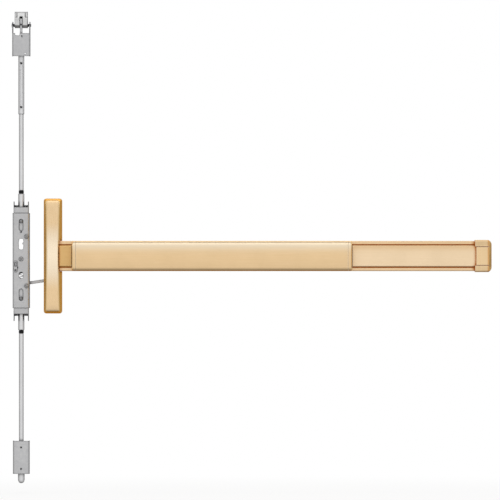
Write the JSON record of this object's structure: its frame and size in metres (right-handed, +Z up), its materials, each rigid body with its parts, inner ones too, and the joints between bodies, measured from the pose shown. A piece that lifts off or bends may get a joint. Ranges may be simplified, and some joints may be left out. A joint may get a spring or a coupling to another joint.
{
  "type": "vertical rod exit device",
  "caption": "Touch bar exit device with concealed vertical rods: pushing the bar turns the top latch bolt and lifts the bottom bolt.",
  "frame": {"origin": "on the door face, at the middle of the back of the touch bar channel's run", "axes": "+X along the touch bar away from the rods, +Y into the door, +Z up"},
  "size_m": [0.9591, 0.1089, 0.9441],
  "materials": {
    "satin_bronze": "fine brushed satin bronze, lightly lacquered",
    "zinc_steel": "dull zinc plated pressed steel",
    "black_steel": "black oxide",
    "spring_wire": "drawn spring wire"
  },
  "bodies": {
    "device": {"head_cover": "satin_bronze", "head_chassis": "zinc_steel", "chassis_screw_upper": "zinc_steel", "chassis_screw_lower": "zinc_steel", "bar_channel": "satin_bronze", "filler_neck": "satin_bronze", "filler_strip": "satin_bronze", "end_cap": "satin_bronze", "end_bracket": "zinc_steel", "bracket_screw_upper": "zinc_steel", "bracket_screw_lower": "zinc_steel", "crank_yoke_left": "zinc_steel", "crank_yoke_right": "zinc_steel", "crank_pin_left": "zinc_steel", "crank_pin_right": "zinc_steel", "head_pivot_post": "zinc_steel", "centre_case": "zinc_steel", "case_stud_upper": "zinc_steel", "case_stud_lower": "zinc_steel", "case_clip": "zinc_steel", "rocker_pivot": "zinc_steel", "spring_strap": "zinc_steel", "top_latch_case": "zinc_steel", "top_bolt_pin": "zinc_steel", "bottom_latch_case": "zinc_steel", "bottom_guide_upper": "zinc_steel", "bottom_guide_lower": "zinc_steel", "slide_spring": "spring_wire", "bottom_bolt_spring": "spring_wire"},
    "pad": {"touch_pad": "satin_bronze", "pad_end_left": "satin_bronze", "pad_end_right": "satin_bronze", "pad_rail": "zinc_steel", "pad_lug_left": "zinc_steel", "pad_lug_right": "zinc_steel"},
    "crank_left": {"bell_crank_left": "zinc_steel"},
    "crank_right": {"bell_crank_right": "zinc_steel"},
    "actuator": {"actuator_strip": "zinc_steel", "drive_block": "zinc_steel"},
    "lift_crank": {"head_crank": "zinc_steel"},
    "lower_train": {"lower_slide": "zinc_steel", "lower_slide_stud": "zinc_steel", "lower_cross_pin": "zinc_steel", "lower_sleeve": "zinc_steel", "lower_adjuster": "black_steel", "bottom_rod": "zinc_steel", "bottom_bolt": "zinc_steel"},
    "rocker_arm": {"rocker": "zinc_steel"},
    "upper_train": {"upper_slide": "zinc_steel", "upper_slide_stud": "zinc_steel", "upper_cross_pin": "zinc_steel", "upper_sleeve": "zinc_steel", "upper_adjuster": "black_steel", "top_rod": "zinc_steel", "top_rod_tube": "zinc_steel", "tube_pin_upper": "black_steel", "tube_pin_lower": "black_steel", "rod_head": "zinc_steel"},
    "bolt": {"top_bolt": "zinc_steel", "link_pin": "zinc_steel"}
  },
  "joints": [
    {"name": "pad_press", "type": "slide", "parent": "device", "child": "pad", "axis": [0, 1, 0], "range_m": [0, 0.015], "stiffness_N_per_m": 1500, "springref_m": -0.015},
    {"name": "crank_left_turn", "type": "hinge", "parent": "device", "child": "crank_left", "pos_m": [-0.32025, -0.03, 0], "axis": [0, 0, -1], "range_deg": [0, 44.05]},
    {"name": "crank_right_turn", "type": "hinge", "parent": "device", "child": "crank_right", "pos_m": [0.09775, -0.03, 0], "axis": [0, 0, -1], "range_deg": [0, 44.05]},
    {"name": "actuator_slide", "type": "slide", "parent": "device", "child": "actuator", "axis": [1, 0, 0], "range_m": [0, 0.015]},
    {"name": "head_crank_turn", "type": "hinge", "parent": "device", "child": "lift_crank", "pos_m": [-0.42895, 0.0215, -0.0467], "axis": [0, 1, 0], "range_deg": [0, 17.06]},
    {"name": "lower_lift", "type": "slide", "parent": "device", "child": "lower_train", "axis": [0, 0, 1], "range_m": [0, 0.015], "deforming": ["slide_spring", "bottom_bolt_spring"]},
    {"name": "rocker_turn", "type": "hinge", "parent": "device", "child": "rocker_arm", "pos_m": [-0.49325, 0.0145, -0.006], "axis": [0, 1, 0], "range_deg": [0, 77.36]},
    {"name": "upper_drop", "type": "slide", "parent": "device", "child": "upper_train", "axis": [0, 0, -1], "range_m": [0, 0.015]},
    {"name": "top_bolt_turn", "type": "hinge", "parent": "device", "child": "bolt", "pos_m": [-0.49325, 0.031, 0.462], "axis": [1, 0, 0], "range_deg": [0, 39.87]}
  ],
  "couplings": [
    {"joint": "crank_left_turn", "follows": "pad_press", "rad_per_m": 51.253},
    {"joint": "crank_right_turn", "follows": "pad_press", "rad_per_m": 51.253},
    {"joint": "actuator_slide", "follows": "pad_press", "ratio": 1},
    {"joint": "head_crank_turn", "follows": "pad_press", "rad_per_m": 19.852},
    {"joint": "lower_lift", "follows": "pad_press", "ratio": 1},
    {"joint": "rocker_turn", "follows": "pad_press", "rad_per_m": 90.017},
    {"joint": "upper_drop", "follows": "pad_press", "ratio": 1},
    {"joint": "top_bolt_turn", "follows": "pad_press", "rad_per_m": 46.384}
  ]
}
